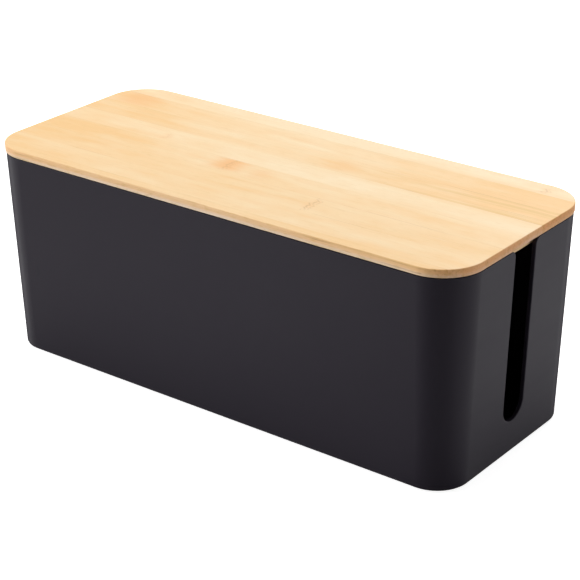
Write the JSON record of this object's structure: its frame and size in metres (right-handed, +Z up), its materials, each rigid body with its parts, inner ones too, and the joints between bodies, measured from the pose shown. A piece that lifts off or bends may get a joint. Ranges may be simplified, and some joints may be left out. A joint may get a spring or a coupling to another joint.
{
  "type": "cable management box",
  "caption": "Rectangular box with rounded corners and leaning walls, an open-topped cable slot in each end and a lift-off board lid, which hides a power strip and its cords.",
  "frame": {"origin": "middle of the box at the undersides of its feet", "axes": "+X along the box's length to its right end, -Y to the front, +Z up, the way the lid lifts"},
  "size_m": [0.32, 0.133, 0.1289],
  "materials": {
    "tub_plastic": "satin charcoal black, fine moulded texture",
    "lid_bamboo": "sanded bamboo with a clear matt lacquer",
    "batten_bamboo": "sanded bamboo, unlacquered",
    "foot_silicone": "matt black silicone",
    "pad_silicone": "matt black silicone",
    "screw_steel": "zinc-plated steel"
  },
  "bodies": {
    "box": {"tub": "tub_plastic", "foot_front_left": "foot_silicone", "foot_front_right": "foot_silicone", "foot_rear_left": "foot_silicone", "foot_rear_right": "foot_silicone"},
    "lid": {"lath_1": "lid_bamboo", "lath_2": "lid_bamboo", "lath_3": "lid_bamboo", "lath_4": "lid_bamboo", "lath_5": "lid_bamboo", "lath_6": "lid_bamboo", "lath_7": "lid_bamboo", "lath_8": "lid_bamboo", "batten_left": "batten_bamboo", "batten_right": "batten_bamboo", "screw_front_left": "screw_steel", "screw_front_right": "screw_steel", "screw_rear_left": "screw_steel", "screw_rear_right": "screw_steel", "pad_front_left": "pad_silicone", "pad_front_right": "pad_silicone", "pad_rear_left": "pad_silicone", "pad_rear_right": "pad_silicone"}
  },
  "joints": [
    {"name": "lid_lift", "type": "slide", "parent": "box", "child": "lid", "axis": [0, 0, 1], "range_m": [0, 0.15]}
  ]
}
